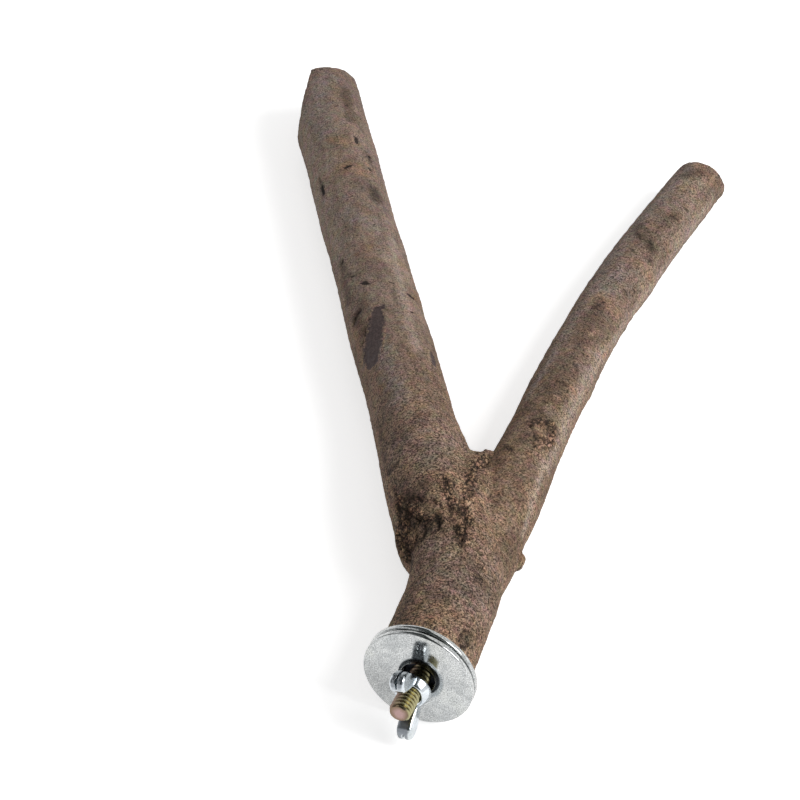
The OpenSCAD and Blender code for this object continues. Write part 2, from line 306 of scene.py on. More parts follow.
# brush strokes on the bark: the kind, then each stroke's width and the places it passes, in picture points
barkStrokes = [
    # the long limb
    ("peel", [
     ([8, 15, 20, 23, 23, 18], (376, 309), (377, 319), (374, 334), (372, 346), (371, 355), (372, 361)),
     (5, (383, 306), (383, 308)), (3, (360, 311), (361, 313)),
     ([4, 7, 6], (431, 353), (433, 359), (434, 365))]),
    # smudges: dark bark, partly painted shade on the long limb's shaded left side
    ("smudgeAndShade", [([14, 10], (356, 316), (364, 334)), ([12, 18], (340, 264), (350, 300)),
     (14, (344, 90), (352, 120)), ([10, 14], (378, 420), (388, 470))]),
    ("crease", [([3, 2, 2.5], (360, 310), (356, 318), (354, 326)),
     (1.5, (369, 318), (366, 330), (363, 344))]),
    ("tan", [(4, (385, 330), (384, 342), (382, 352)), (8, (341, 142), (346, 143)),
     (6, (351, 166), (353, 169)), (6, (359, 171), (363, 174)), (5, (366, 163), (368, 166))]),
    ("slit", [([3, 6, 2], (361, 283), (365, 283), (370, 284)), (2.5, (389, 282), (394, 283)),
     (6, (409, 295), (413, 298)), (3, (411, 312), (414, 313)), (2, (343, 260), (342, 265)),
     (3, (352, 277), (354, 276)), (4, (356, 138), (357, 143)), (2, (354, 136), (355, 137)),
     (3, (369, 156), (370, 158)), (3, (345, 168), (351, 165)), (3, (369, 168), (371, 171)),
     (4, (322, 187), (324, 194)), (2.5, (351, 195), (353, 196)), (2, (362, 187), (363, 189)),
     (2, (345, 105), (347, 106)), (2, (335, 105), (336, 106)), (2, (353, 86), (355, 88)),
     (2, (374, 224), (375, 226))]),
    ("stain", [(9, (358, 312), (356, 320)), (6, (348, 274), (350, 276)), (6, (368, 156), (370, 161)),
     (4, (344, 170), (350, 166)), ([3, 7, 6], (319, 178), (322, 186), (324, 196)),
     (14, (374, 190), (376, 199))]),
    # pale strokes: paler bark, partly painted light that lifts the long limb's shaded left edge and lights
    # its right edge
    ("paleAndLit", [([34, 42, 40, 34, 26], (308, 112), (308, 140), (318, 172), (336, 240), (350, 300)),
     (18, (300, 130), (312, 180), (328, 245)), (12, (392, 240), (404, 300), (416, 350)),
     (16, (388, 258), (406, 272))]),
    ("ashy", [(26, (322, 80), (316, 110), (326, 134)), (24, (344, 214), (376, 226)),
     (22, (380, 340), (398, 400))]),
    ("rust", [(15, (330, 140), (352, 144)), (22, (344, 166), (362, 172)), (12, (400, 262), (404, 268)),
     (10, (356, 330), (360, 356))]),
    ("moss", [(12, (374, 190), (376, 199)), (8, (366, 158), (370, 163))]),
    # the fork: cracked burr, swirling folds and dark hollows, the hollows darkened partly with painted shade
    ("burr", [([17, 20, 15], (485, 457), (482, 462), (474, 470)), (16, (470, 476), (468, 500)),
     ([13, 22, 16], (443, 478), (452, 490), (446, 502)), ([18, 28, 14], (452, 500), (464, 512), (464, 545)),
     ([12, 18, 16], (398, 500), (406, 530), (408, 556)), (13, (398, 532), (403, 556)),
     (16, (410, 506), (424, 522), (438, 520))]),
    ("crease", [([2, 4, 2.5], (396, 490), (398, 510), (402, 530)),
     ([1.5, 2.5, 1.5], (403, 497), (408, 512), (411, 528)),
     ([1.5, 3, 2.5, 1.5], (411, 506), (412, 517), (420, 520), (429, 513)),
     ([1.5, 2, 1.5], (408, 500), (417, 497), (424, 504)), ([3, 5, 3], (400, 535), (406, 546), (411, 560)),
     ([1.5, 2.5, 2], (418, 534), (415, 546), (410, 556)), ([2, 3.5, 2], (421, 521), (426, 530), (423, 541)),
     ([2, 3.5, 2], (435, 513), (440, 522), (437, 531)), (2.5, (486, 458), (488, 463), (483, 469)),
     (2.2, (480, 458), (473, 463), (478, 468)), ([3, 2.5, 3.5], (471, 470), (468, 482), (470, 497)),
     ([2, 2.5, 2.5, 1.5], (463, 504), (466, 517), (465, 533), (461, 549)),
     ([2, 4.5, 2], (443, 477), (448, 486), (444, 491)), (2, (452, 474), (459, 479)),
     (3, (449, 504), (451, 514)), (2, (472, 518), (469, 524)), (2, (455, 525), (457, 536)),
     (2, (433, 500), (437, 504))]),
    ("tan", [(11, (437, 492), (444, 502)), (10, (454, 474), (461, 486), (455, 496)),
     (12, (468, 504), (472, 514)), (8, (455, 511), (457, 522)), (7, (469, 483), (471, 491)),
     (6, (479, 500), (482, 503)), (6, (411, 535), (413, 541)), (4, (462, 528), (463, 534)),
     (5, (447, 544), (448, 548))]),
    # smudges: dark bark, partly painted shade on the fork's left side
    ("smudgeAndShade", [([22, 34, 34, 22], (402, 488), (404, 512), (408, 536), (412, 566)),
     ([30, 30], (420, 506), (434, 524)), (22, (452, 520), (462, 540))]),
    ("rust", [(8, (386, 470), (392, 494)), ([26, 30], (440, 480), (470, 500)), (12, (412, 536), (418, 546))]),
    ("stain", [([5, 8], (398, 500), (400, 524)), (12, (409, 496), (422, 500)),
     ([12, 16], (405, 512), (414, 526)), ([11, 15, 10], (425, 521), (427, 533), (417, 544)),
     (9, (438, 516), (440, 528)), ([9, 12, 7], (407, 548), (410, 560), (412, 570)),
     (10, (424, 482), (427, 490)), (8, (463, 506), (461, 516)), (7, (452, 506), (453, 514)),
     (8, (458, 527), (459, 536)), (6, (476, 490), (477, 494)), (7, (476, 580), (479, 578)),
     (8, (390, 474), (396, 466)), (8, (504, 447), (512, 450))]),
    # pale strokes: paler bark, partly painted light on the fork's right side
    ("paleAndLit", [([8, 12, 9], (544, 462), (533, 500), (522, 536)), (3, (447, 502), (448, 505))]),
    # the trunk, with an old knot by the washers
    # smudges: dark bark, partly painted shade on the trunk's left side
    ("smudgeAndShade", [([22, 28, 26], (412, 586), (408, 600), (402, 616)), (22, (430, 590), (446, 600)),
     (16, (470, 560), (484, 590)), ([14, 18], (448, 582), (472, 596))]),
    ("rust", [(9, (400, 610), (414, 606)), (12, (438, 606), (452, 612))]),
    ("moss", [(12, (440, 560), (448, 580))]),
    ("ring", [(12, (464, 634), (465, 643))]),
    ("crease", [(2.5, (459, 642), (461, 634), (466, 630), (470, 635), (470, 643), (466, 648), (460, 646))]),
    ("stain", [(8, (464, 636), (466, 643)), (7, (458, 642), (462, 648))]),
    ("tan", [(7, (452, 636), (458, 644)), (5, (440, 628), (447, 632))]),
    # the short limb
    # pale strokes: paler bark, partly painted light on the short limb's right side
    ("paleAndLit", [([14, 21, 19, 14], (547, 470), (566, 424), (584, 384), (604, 352)),
     ([10, 13, 15, 15, 10], (612, 345), (636, 308), (664, 268), (692, 228), (712, 200))]),
    ("ashy", [
     ([10, 12, 14, 16, 18, 20], (527, 400), (551, 358), (577, 312), (605, 268), (640, 222), (686, 170)),
     ([16, 22, 12], (590, 292), (606, 286), (622, 270))]),
    # smudges: dark bark, partly painted shade on the short limb
    ("smudgeAndShade", [([26, 24, 26, 18], (552, 392), (566, 366), (588, 330), (600, 304)),
     ([20, 24], (524, 440), (540, 414)), ([18, 26, 16], (640, 226), (648, 244), (652, 262)),
     ([12, 16], (660, 228), (676, 214)), ([14, 16], (684, 176), (702, 172)),
     ([12, 14, 10], (547, 422), (555, 431), (549, 443))]),
    ("rust", [([16, 18], (600, 300), (612, 310)), (14, (586, 336), (596, 330)),
     ([12, 10], (560, 378), (574, 392)), ([12, 10], (536, 430), (546, 440)), (12, (672, 214), (680, 220)),
     (12, (648, 274), (654, 282)), (14, (700, 168), (712, 180))]),
    ("moss", [(12, (528, 410), (546, 384)), (12, (546, 414), (554, 426), (551, 438)),
     (12, (606, 288), (616, 282))]),
    ("tan", [(11, (533, 429), (539, 429)), (9, (538, 445), (543, 445)), (7, (537, 444), (542, 448)),
     (6, (554, 396), (559, 399)), (6, (590, 335), (597, 331)), (6, (607, 352), (602, 358))]),
    ("crease", [([2.5, 3, 3.5], (532, 441), (540, 437), (550, 444)),
     (1.8, (530, 425), (535, 435), (532, 444)), (1, (676, 188), (684, 192), (694, 194)),
     (1, (636, 226), (648, 222), (658, 224))]),
    ("stain", [(5, (533, 420), (541, 419)), (7, (547, 420), (549, 430)), (5, (543, 399), (545, 403)),
     (6, (560, 382), (566, 385)), (5, (574, 364), (577, 370)), (6, (593, 308), (598, 306)),
     (4, (624, 291), (627, 295)), ([7, 9], (650, 242), (651, 249)), (5, (638, 234), (641, 240)),
     (4, (644, 258), (650, 262)), (4, (632, 250), (636, 254)), (5, (672, 217), (677, 220)),
     (4, (684, 208), (687, 211))]),
    ("burr", [(11, (534, 424), (552, 424), (551, 444), (536, 446))]),
    ("slit", [(2, (594, 313), (597, 315)), (2, (602, 302), (606, 303))]),
]

# the layers that the bark's material reads, four values each
barkLayers = {
    "barkMarks": ("peel", "stain", "slit", "tan"),
    "barkRough": ("burr", "crease", "ring", "sawn"),
    # hollow: painted shade in the relief's hollows
    # pale: paler bark, partly painted light
    "barkTone": ("coarse", "brown", "paleAndLit", "hollowShading"),
    # smudge: dark bark, partly painted shade
    "barkTint": ("smudgeAndShade", "ashy", "rust", "moss"),
}


def denseLine(points, window):
    # the centreline sampled every millimetre or so, and evened out over the window
    rows = np.array(points, float) * mm
    parts = [rows[:1]]
    for start, end in zip(rows[:-1], rows[1:]):
        count = int(np.linalg.norm(end - start) / mm)
        parts.append(start + (end - start) * np.linspace(0, 1, count + 1)[1:, None])
    line = np.concatenate(parts)
    kernel = np.ones(window) / window
    half = window // 2
    padded = np.pad(line, ((half, half), (0, 0)), mode="edge")
    return np.stack([np.convolve(padded[:, k], kernel, "valid") for k in range(3)], axis=1)


def limbFrame(places, points, window):
    # where each place lies along a limb and across it
    line = denseLine(points, window)
    flat = ((places[:, None, :2] - line[None, :, :2]) ** 2).sum(2)
    nearest = flat.argmin(1)
    ahead = np.gradient(line, axis=0)
    ahead /= np.linalg.norm(ahead, axis=1)[:, None]
    way = ahead[nearest]
    offset = places - line[nearest]
    side = np.stack([way[:, 1], -way[:, 0], np.zeros(len(way))], axis=1)
    steps = np.concatenate([[0], np.cumsum(np.linalg.norm(np.diff(line, axis=0), axis=1))])
    along = steps[nearest] + (offset * way).sum(1)
    return np.stack([along, (offset * side).sum(1), offset[:, 2]], axis=1)


def strokeField(places, path, widths):
    # 1 on the stroke's middle line, 0 at its edge, less outside
    best = np.full(len(places), -9.0)
    for start, end, wide, nextWide in zip(path[:-1], path[1:], widths[:-1], widths[1:]):
        run = end - start
        share = np.clip(((places - start) @ run) / max(run @ run, 1e-12), 0, 1)
        away = np.linalg.norm(places - start - share[:, None] * run, axis=1)
        best = np.maximum(best, 1 - away / ((wide + (nextWide - wide) * share) / 2))
    return best


def pinTo(tree, x, y):
    # the point of the bark under a point of the picture
    middle = studio["picture"] / 2
    seen = Vector(((x - middle) / focalPoints, (middle - y) / focalPoints, -1))
    way = camera.matrix_world.to_3x3() @ seen.normalized()
    hit = tree.ray_cast(camera.location, way)
    return hit[0], hit[3]


def brushFields(mesh, places):
    # each stroke is laid on the bark where the camera sees it
    fields = {kind: np.full(len(places), -1.0) for kind, strokes in barkStrokes}
    tree = BVHTree.FromPolygons([v.co for v in mesh.vertices], [p.vertices for p in mesh.polygons])
    for kind, width, *path in [(kind, *stroke) for kind, strokes in barkStrokes for stroke in strokes]:
        pinned = [pinTo(tree, x, y) for x, y in path]
        if any(spot is None for spot, away in pinned):
            print("perch: a stroke misses the bark", kind, path)
            continue
        sizes = width if isinstance(width, list) else [width] * len(path)
        widths = [size * away / focalPoints for size, (spot, away) in zip(sizes, pinned)]
        spots = [np.array(spot) for spot, away in pinned]
        fields[kind] = np.maximum(fields[kind], strokeField(places, spots, widths))
    return fields


def makeBranch(plan):
    piece = bpy.data.objects.new("branchWood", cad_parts["branch"].data.copy())
    bpy.context.scene.collection.objects.link(piece)
    piece.data.materials.clear()
    selectOnly(piece)
    bpy.ops.object.mode_set(mode="EDIT")
    bpy.ops.mesh.select_all(action="SELECT")
    bpy.ops.mesh.remove_doubles(threshold=plan["solidWeld"])
    bpy.ops.object.mode_set(mode="OBJECT")
    applyModifier(piece, "REMESH", mode="VOXEL", voxel_size=plan["voxel"])
    applyModifier(piece, "SMOOTH", factor=0.5, iterations=plan["evenRounds"])
    mesh = piece.data
    count = len(mesh.vertices)
    print("perch: branch mesh", count, "points")

    places = np.empty(count * 3)
    mesh.vertices.foreach_get("co", places)
    places = places.reshape(-1, 3)
    normals = np.empty(count * 3, np.float32)
    mesh.vertex_normals.foreach_get("vector", normals)
    normals = normals.reshape(-1, 3).astype(float)

    # limb coordinates, blended where the two limbs share the trunk
    longWay = limbFrame(places, plan["longLine"], plan["smoothOver"])
    shortWay = limbFrame(places, plan["shortLine"], plan["smoothOver"])
    lean = np.hypot(longWay[:, 1], longWay[:, 2]) / plan["longRadius"]
    lean -= np.hypot(shortWay[:, 1], shortWay[:, 2]) / plan["shortRadius"]
    share = np.clip(lean / plan["blend"] + 0.5, 0, 1)
    barkWay = longWay * (1 - share[:, None]) + shortWay * share[:, None]

    # sawn faces
    sawn = np.zeros(count)
    faceFrom, faceOver = plan["sawnFacing"]
    for at, tip, turn in plan["saws"]:
        blade = Matrix.Rotation(math.radians(turn), 3, "Z") @ Matrix.Rotation(math.radians(tip), 3, "X")
        facing = np.array(blade @ Vector((0, 1, 0)))
        height = np.abs((places - np.array(at) * mm) @ facing)
        square = np.clip((normals @ facing - faceFrom) / faceOver, 0, 1)
        sawn = np.maximum(sawn, (height < plan["sawnSkin"]) * square)

    # relief: slow waves and grain along the limb, crags on the burr, then the strokes' own depths
    fields = brushFields(mesh, places)
    burr = np.clip(fields["burr"] + plan["burrEdge"], 0, 1)
    waveAlong, waveAcross, waveDepth = plan["wave"]
    grainAlong, grainAcross, grainDepth = plan["grain"]
    lift = np.zeros(count)
    for k in range(count):
        along, across, up = barkWay[k] / mm
        wave = noise.fractal((along * waveAlong, across * waveAcross, up * waveAcross), 0.7, 2.0, 4)
        grain = noise.fractal((along * grainAlong, across * grainAcross, up * grainAcross), 0.6, 2.0, 3)
        lift[k] = wave * waveDepth + grain * grainDepth
        if burr[k] > 0:
            crag = noise.turbulence(places[k] / mm * plan["cragSize"], 4, True)
            lift[k] += burr[k] * (crag - plan["cragLevel"]) * plan["burrDepth"]
    for kind, (slope, reach, depth) in plan["cuts"].items():
        lift -= np.clip(fields[kind] * slope + reach, 0, 1) * depth
    ridges = {}
    for kind, (middle, width, height) in plan["ridges"].items():
        ridges[kind] = np.exp(-((fields[kind] - middle) / width) ** 2)
        lift += ridges[kind] * height
    nearWasher = np.clip((places[:, 1] - plan["calmUpTo"]) / plan["calmOver"], 0, 1)
    lift *= (1 - sawn * plan["sawnCalm"]) * nearWasher
    places = places + normals * lift[:, None]
    places[:, 2] = np.maximum(places[:, 2], studio["floorHeight"])
    mesh.vertices.foreach_set("co", places.ravel())

    # how coarse and how brown the bark is: most in the fork and the trunk, least up the long limb
    gritty = np.clip((plan["coarseFrom"] - barkWay[:, 0]) / plan["fadeOver"], 0, 1)
    near = np.clip((plan["brownFrom"] - barkWay[:, 0]) / plan["fadeOver"], 0, 1)
    layers = {kind: np.clip(field, -1, 1) for kind, field in fields.items()}
    layers["sawn"] = sawn
    layers["ring"] = ridges["ring"]
    calm = 1 - share * plan["shortCalm"]
    layers["coarse"] = gritty * calm + (1 - gritty) * share * plan["shortCoarse"]
    layers["brown"] = np.clip(near + share * plan["shortBrown"], 0, 1)
    # painted shade in the relief's hollows, darker where they are deeper
    layers["hollowShading"] = np.clip(-lift / plan["hollowDepth"], 0, 1) * (1 - sawn)
    way = mesh.attributes.new("barkWay", "FLOAT_VECTOR", "POINT")
    way.data.foreach_set("vector", barkWay.ravel().astype(np.float32))
    for name, parts in barkLayers.items():
        layer = mesh.attributes.new(name, "FLOAT_COLOR", "POINT")
        values = np.stack([layers[part] for part in parts], axis=1)
        layer.data.foreach_set("color", values.ravel().astype(np.float32))
    mesh.update()
    selectOnly(piece)
    bpy.ops.object.shade_smooth()
    return piece


barkLook = {
    "greyLight": (0.285, 0.208, 0.163),
    "greyDark": (0.19, 0.135, 0.104),
    "brownLight": (0.26, 0.174, 0.117),
    "brownDark": (0.15, 0.096, 0.063),
    "mauve": (0.21, 0.153, 0.135),
    "ochre": (0.28, 0.175, 0.105),
    "olive": (0.17, 0.145, 0.095),
    # paler bark, also used as painted light on the limbs' edges
    "paleAndLit": (0.37, 0.29, 0.235),
    "peel": (0.056, 0.038, 0.038),
    "peelWorn": (0.108, 0.076, 0.07),
    "slit": (0.02, 0.017, 0.017),
    # dark bark, also used as painted shade on the shaded sides
    "smudgeAndShade": (0.1, 0.066, 0.048),
    "ashy": (0.265, 0.213, 0.187),
    "rust": (0.3, 0.185, 0.118),
    "moss": (0.145, 0.12, 0.085),
    "tan": (0.38, 0.245, 0.16),
    "crackDark": (0.03, 0.02, 0.015),
    "crackLight": (0.3, 0.185, 0.12),
    "woodLight": (0.52, 0.36, 0.22),
    "woodDark": (0.33, 0.2, 0.11),
    "woodGrey": (0.25, 0.19, 0.15),
    # iron stain round the bolt, its blue-grey partly painted shade inside the washers' hole
    "ironStainAndShade": (0.13, 0.14, 0.185),
    # patterns: how many to the metre, detail, roughness and warp
    "patterns": {
        "fine": (2300, 2, 0.6), "grit": (1350, 3, 0.6, 0.2), "streak": (700, 3, 0.6),
        "patch": (150, 5, 0.65, 0.4), "broad": (34, 3, 0.55),
        "warm": (90, 6, 0.7, 0.3), "green": (60, 5, 0.65),
        "ragged": (650, 4, 0.7), "billow": (260, 6, 0.72),
        "wobble": (120, 2, 0.5), "sawMarks": (500, 2, 0.6), "tinge": (420, 4),
    },
    # where in its pattern a tone begins and is full, and how much it covers at both
    "ranges": {
        "tone": (0.36, 0.64),
        "mauve": (0.48, 0.68, 0, 0.45), "ochre": (0.5, 0.72, 0, 0.6), "olive": (0.54, 0.7, 0, 0.5),
        "cork": (0, 0.2), "peelWorn": (0.35, 0.68),
        "rings": (-0.6, 0.9, 0, 0.8), "sawMarks": (0.35, 0.75, 0, 0.5), "woodGrey": (0.4, 0.65, 0, 0.6),
        "ironShadeAcross": (5.5 * mm, 8 * mm, 1, 0),
        "ironShadeAlong": (11 * mm, 13 * mm, 1, 0),
    },
    # how frayed a stroke is, where it begins and is full, and the most that it covers
    "strokes": {
        "paleAndLit": (1.8, -0.6, 1.1, 0.66), "ashy": (3.6, -0.5, 1.0, 0.7),
        "rust": (3.6, -0.5, 1.0, 0.6), "moss": (3.6, -0.5, 1.0, 0.5),
        "smudgeAndShade": (3.6, -0.5, 1.0, 0.7), "burr": (2.2, -0.25, 0.4, 1),
        "tan": (3.2, 0.0, 0.7, 0.62), "stain": (3.4, -0.7, 1.0, 0.6),
        "peel": (1.9, -0.08, 0.08, 1), "slit": (1.4, -0.25, 0.4, 0.85),
        "crease": (2.6, -0.6, 0.7, 0.7),
    },
    "cells": 520,
    "cellWarp": (500, 1.6 * mm),
    "cellFray": 0.5,
    "crackCover": 0.85,
    # speckle: what it gains where the bark is coarse, and what it has everywhere
    "speckle": {"fine": (2.2, 3.6), "grit": (4.8, 0.9), "streak": (0, 0.7)},
    "speckleFloor": 0.2,
    "tingeCover": 0.26,
    "hollowShade": 0.5,
    "ringShade": 0.45,
    # growth rings: how far they wander and how close they are
    "ringWander": 4 * mm,
    "ringRate": 6500,
    "roughness": 0.92,
    "peelGloss": 0.25,
    "shine": 0.25,
    # relief of each pattern, in shares of the depth
    "relief": {"fine": 0.5, "grit": 0.9, "streak": 0.3, "cork": 1.4, "peel": -0.5},
    "reliefStrength": 0.7,
    "reliefDepth": 0.3 * mm,
}


def darken(tree, colour, amount, share=1.0):
    # takes up to this share of the light away, and keeps the grain below
    factor = maths(tree, "SUBTRACT", 1.0, times(tree, amount, share))
    shade = addNode(tree, "ShaderNodeCombineXYZ")
    for socket in shade.inputs:
        plug(tree, factor, socket)
    return blendColour(tree, 1.0, colour, shade.outputs[0], "MULTIPLY")


def partsOf(tree, where):
    split = addNode(tree, "ShaderNodeSeparateXYZ")
    plug(tree, where, split.inputs[0])
    return split.outputs


def fromAxis(tree, across, up):
    return maths(tree, "SQRT", maths(tree, "MULTIPLY_ADD", across, across, times(tree, up, up)))


def barkMaterial(look):
    material, tree, shader = newMaterial("dryBark")
    way = addNode(tree, "ShaderNodeAttribute", attribute_name="barkWay").outputs["Vector"]
    place = addNode(tree, "ShaderNodeTexCoord").outputs["Object"]
    parts = {}
    for name, channels in barkLayers.items():
        layer = addNode(tree, "ShaderNodeAttribute", attribute_name=name)
        split = addNode(tree, "ShaderNodeSeparateColor")
        plug(tree, layer.outputs["Color"], split.inputs[0])
        for channel, socket in zip(channels, [*split.outputs, layer.outputs["Alpha"]]):
            parts[channel] = socket

    def pattern(name, where, **more):
        return cloud(tree, where, *look["patterns"][name], **more)

    def ranged(name, value):
        return spread(tree, value, *look["ranges"][name])

    # grain, speckle and mottling, from fine to broad
    fine = pattern("fine", place)
    grit = pattern("grit", stretched(tree, place, (1, 1, 1), (1, 2, 3)))
    streak = pattern("streak", stretched(tree, way, (0.2, 1, 1)))
    patch = pattern("patch", stretched(tree, way, (0.5, 1, 1)))
    broad = pattern("broad", place)
    warm = pattern("warm", stretched(tree, place, (1, 1, 1), (3, 1, 2)))
    green = pattern("green", stretched(tree, place, (1, 1, 1), (7, 4, 2)))
    ragged = maths(tree, "SUBTRACT", pattern("ragged", place), 0.5)
    billow = maths(tree, "SUBTRACT", pattern("billow", place), 0.5)

    def brushed(kind, edge=ragged):
        # a stroke with a frayed edge
        fray, low, high, most = look["strokes"][kind]
        return spread(tree, maths(tree, "MULTIPLY_ADD", edge, fray, parts[kind]), low, high, 0, most)

    tone = ranged("tone", patch)
    grey = blendColour(tree, tone, look["greyDark"], look["greyLight"])
    brown = blendColour(tree, tone, look["brownDark"], look["brownLight"])
    colour = blendColour(tree, parts["brown"], grey, brown)
    for kind, mottling in (("mauve", broad), ("ochre", warm), ("olive", green)):
        colour = blendColour(tree, ranged(kind, mottling), colour, look[kind])
    # paler bark, partly painted light on the limbs' edges
    colour = blendColour(tree, brushed("paleAndLit"), colour, look["paleAndLit"])
    # ashy, rust and moss are the bark's own tones; the smudges are dark bark and partly painted shade
    for kind in ("ashy", "rust", "moss", "smudgeAndShade"):
        colour = blendColour(tree, brushed(kind, billow), colour, look[kind])

    # cracked and tan places
    crack = brushed("burr")
    cells = addNode(tree, "ShaderNodeTexVoronoi", feature="DISTANCE_TO_EDGE")
    plug(tree, warped(tree, place, *look["cellWarp"]), cells.inputs["Vector"])
    cells.inputs["Scale"].default_value = look["cells"]
    cork = ranged("cork", maths(tree, "MULTIPLY_ADD", ragged, look["cellFray"], cells.outputs["Distance"]))
    crackLook = blendColour(tree, cork, look["crackDark"], look["crackLight"])
    colour = blendColour(tree, times(tree, crack, look["crackCover"]), colour, crackLook)
    colour = blendColour(tree, brushed("tan"), colour, look["tan"])

    # speckle, stronger where the bark is coarse
    value = 1.0
    for kind, grains in (("fine", fine), ("grit", grit), ("streak", streak)):
        force = maths(tree, "MULTIPLY_ADD", parts["coarse"], *look["speckle"][kind])
        value = maths(tree, "MULTIPLY_ADD", maths(tree, "SUBTRACT", grains, 0.5), force, value)
    value = maths(tree, "MAXIMUM", value, look["speckleFloor"])
    colour = darken(tree, colour, maths(tree, "SUBTRACT", 1.0, value))
    tinge = pattern("tinge", place, output="Color")
    colour = blendColour(tree, look["tingeCover"], colour, tinge, "OVERLAY")

    # stains and painted shade in the relief's hollows darken the grain, bare wood and slits hide it
    colour = darken(tree, colour, brushed("stain"))
    colour = darken(tree, colour, parts["hollowShading"], look["hollowShade"])
    bare = brushed("peel")
    peeled = blendColour(tree, ranged("peelWorn", grit), look["peel"], look["peelWorn"])
    colour = blendColour(tree, bare, colour, peeled)
    colour = blendColour(tree, brushed("slit"), colour, look["slit"])
    colour = blendColour(tree, brushed("crease"), colour, look["crackDark"])
    colour = darken(tree, colour, parts["ring"], look["ringShade"])

    # sawn wood, with growth rings round the limb's middle
    along, across, up = partsOf(tree, way)
    radius = fromAxis(tree, across, up)
    wobble = maths(tree, "MULTIPLY_ADD", pattern("wobble", place), look["ringWander"], radius)
    rings = maths(tree, "SINE", times(tree, wobble, look["ringRate"]))
    sawMarks = pattern("sawMarks", stretched(tree, place, (1, 1, 6)))
    wood = blendColour(tree, ranged("rings", rings), look["woodLight"], look["woodDark"])
    wood = blendColour(tree, ranged("sawMarks", sawMarks), wood, look["woodDark"])
    wood = blendColour(tree, ranged("woodGrey", patch), wood, look["woodGrey"])
    # steel has stained the wood grey round the bolt, and the stain's blue-grey tone is also painted shade
    # inside the washers' hole
    nearBolt = times(tree, ranged("ironShadeAcross", radius), ranged("ironShadeAlong", along))
    wood = blendColour(tree, nearBolt, wood, look["ironStainAndShade"])
    colour = blendColour(tree, parts["sawn"], colour, wood)
    plug(tree, colour, shader.inputs["Base Color"])

    roughness = maths(tree, "MULTIPLY_ADD", bare, -look["peelGloss"], look["roughness"])
    plug(tree, roughness, shader.inputs["Roughness"])
    shader.inputs["Specular IOR Level"].default_value = look["shine"]
    folds = times(tree, crack, cork)
    raised = {"fine": fine, "grit": grit, "streak": streak, "cork": folds, "peel": bare}
    height = 0.0
    for kind, grains in raised.items():
        height = maths(tree, "MULTIPLY_ADD", grains, look["relief"][kind], height)
    relief = bumpOf(tree, height, look["reliefStrength"], look["reliefDepth"])
    plug(tree, relief, shader.inputs["Normal"])
    return material


branch = makeBranch(branchPlan)
branch.data.materials.append(barkMaterial(barkLook))
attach(branch, "branch")
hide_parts("branch")
print("perch: branch made")


def layOut(piece, place=(0, 0)):
    # drawn along +Z, a piece is laid along the washers' axis and moved beside and below it, in mm
    side, drop = place
    beside = Matrix.Translation((side * mm, 0, drop * mm))
    piece.data.transform(beside @ Matrix.Rotation(math.radians(90), 4, "X"))


def closeUp(gap=weldGap):
    # doubles are merged and the faces turned outwards
    bpy.ops.mesh.select_all(action="SELECT")
    bpy.ops.mesh.remove_doubles(threshold=gap)
    bpy.ops.mesh.normals_make_consistent(inside=False)
    bpy.ops.object.mode_set(mode="OBJECT")


def smoothUpTo(piece, angle):
    selectOnly(piece)
    bpy.ops.object.shade_smooth_by_angle(angle=math.radians(angle))


def turned(name, profile, sides):
    # a ring is drawn through the profile's points, radius and height in mm, and closed on itself
    radius, height = profile[0]
    bpy.ops.object.select_all(action="DESELECT")
    bpy.ops.mesh.primitive_circle_add(vertices=sides, radius=radius * mm, location=(0, 0, height * mm))
    piece = bpy.context.object
    piece.name = name
    bpy.ops.object.transform_apply()
    bpy.ops.object.mode_set(mode="EDIT")
    bpy.ops.mesh.select_all(action="SELECT")
    for nextRadius, nextHeight in [*profile[1:], profile[0]]:
        step = (0, 0, (nextHeight - height) * mm)
        bpy.ops.mesh.extrude_region_move(TRANSFORM_OT_translate={"value": step})
        grow = nextRadius / radius
        bpy.ops.transform.resize(value=(grow, grow, 1), center_override=(0, 0, nextHeight * mm))
        radius, height = nextRadius, nextHeight
    closeUp()
    return piece


def drawnLine(name, points, closed=False):
    # one point is extruded from place to place in the XZ plane, in mm; a closed line is filled
    bpy.ops.object.select_all(action="DESELECT")
    bpy.ops.mesh.primitive_circle_add(vertices=3, radius=mm)
    piece = bpy.context.object
    piece.name = name
    bpy.ops.object.mode_set(mode="EDIT")
    bpy.ops.mesh.select_all(action="SELECT")
    bpy.ops.mesh.merge(type="CENTER")
    x, z = points[0]
    bpy.ops.transform.translate(value=(x * mm, 0, z * mm))
    for nextX, nextZ in [*points[1:], *points[:closed]]:
        step = ((nextX - x) * mm, 0, (nextZ - z) * mm)
        bpy.ops.mesh.extrude_region_move(TRANSFORM_OT_translate={"value": step})
        x, z = nextX, nextZ
    if closed:
        bpy.ops.mesh.select_all(action="SELECT")
        bpy.ops.mesh.remove_doubles(threshold=weldGap)
        bpy.ops.mesh.edge_face_add()
    bpy.ops.object.mode_set(mode="OBJECT")
    return piece


